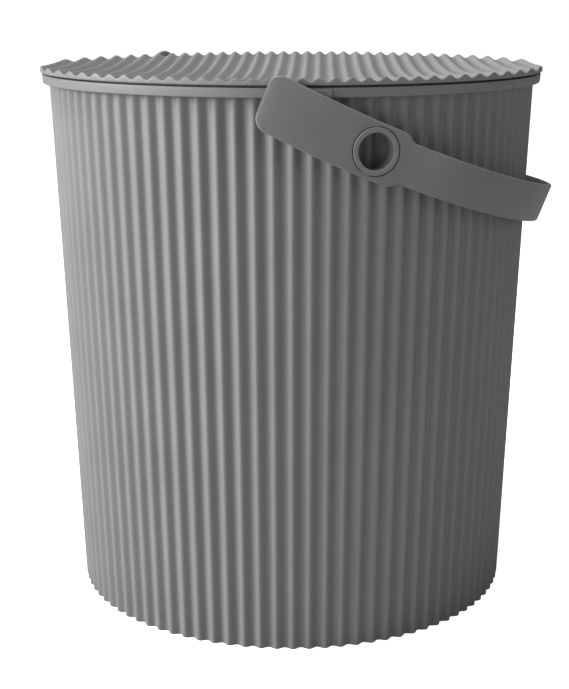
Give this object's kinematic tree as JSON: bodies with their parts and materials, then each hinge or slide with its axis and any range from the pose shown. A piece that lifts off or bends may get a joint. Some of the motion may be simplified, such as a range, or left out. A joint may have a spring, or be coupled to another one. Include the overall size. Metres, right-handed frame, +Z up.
{
  "type": "lidded ribbed bucket",
  "caption": "Tall round bucket with a ribbed tapered wall, a dished corrugated lid to sit on, and a wide flat strap handle that swings on hollow bosses.",
  "frame": {"origin": "middle of the foot ring's underside, on the floor", "axes": "+Z up through the mouth, the handle turns about a line along Y and lies lowered towards +X at rest"},
  "size_m": [0.341, 0.343, 0.3571],
  "materials": {
    "body_plastic": "matte",
    "lid_plastic": "matte",
    "handle_plastic": "matte"
  },
  "bodies": {
    "pail": {"body": "body_plastic"},
    "lid": {"lid": "lid_plastic"},
    "handle": {"handle": "handle_plastic"}
  },
  "joints": [
    {"name": "handle_swing", "type": "hinge", "parent": "pail", "child": "handle", "pos_m": [0, 0, 0.3147], "axis": [0, -1, 0], "range_deg": [0, 217]},
    {"name": "lid_lift", "type": "slide", "parent": "pail", "child": "lid", "axis": [0, 0, 1], "range_m": [0, 0.1]}
  ]
}
